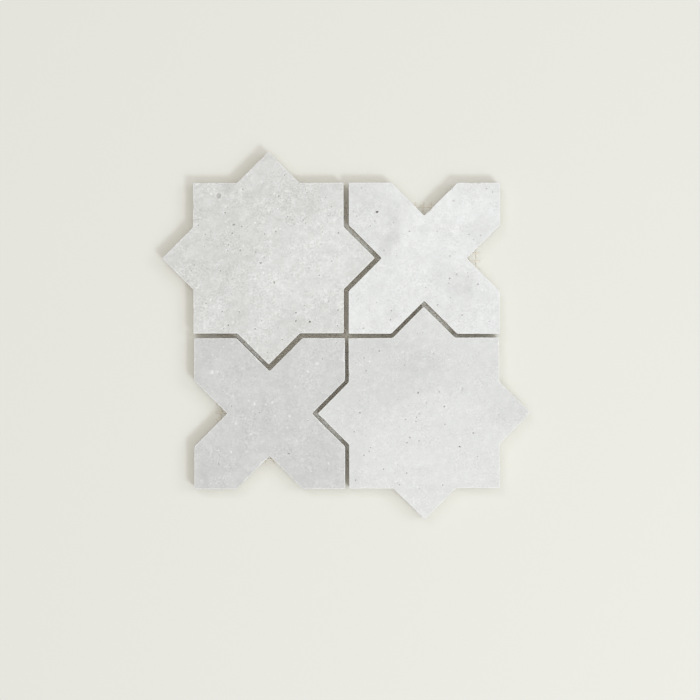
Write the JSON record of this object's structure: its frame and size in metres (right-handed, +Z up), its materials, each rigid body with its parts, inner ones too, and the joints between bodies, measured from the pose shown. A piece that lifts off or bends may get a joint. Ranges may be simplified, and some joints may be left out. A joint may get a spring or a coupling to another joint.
{
  "type": "stone mosaic tile",
  "caption": "Mesh-backed mosaic sheet of pale pitted stone stars and crosses, laid in a chequer with open grout joints, for bonding to floors and walls.",
  "frame": {"origin": "middle of the sheet, on the underside of the backing mesh that it lies on", "axes": "+Z up out of the stone faces, +Y towards the top of the sheet, +X towards its right-hand side, seen from above"},
  "size_m": [0.2366, 0.2366, 0.0105],
  "materials": {
    "pitted_grey_stone": "honed, light grey with many small open pits",
    "white_stone": "honed, near white with grey patches and a few pits",
    "filled_grey_stone": "honed, grey with pale filled spots",
    "clouded_stone": "honed, pale with soft grey clouds and a few pits",
    "glass_fibre_mesh": "resin-coated glass-fibre yarn, off-white"
  },
  "bodies": {
    "root": {"star_north_west": "pitted_grey_stone", "cross_north_east": "white_stone", "cross_south_west": "filled_grey_stone", "star_south_east": "clouded_stone", "backing_mesh_north_west": "glass_fibre_mesh", "backing_mesh_north_east": "glass_fibre_mesh", "backing_mesh_south_west": "glass_fibre_mesh", "backing_mesh_south_east": "glass_fibre_mesh"}
  },
  "joints": []
}
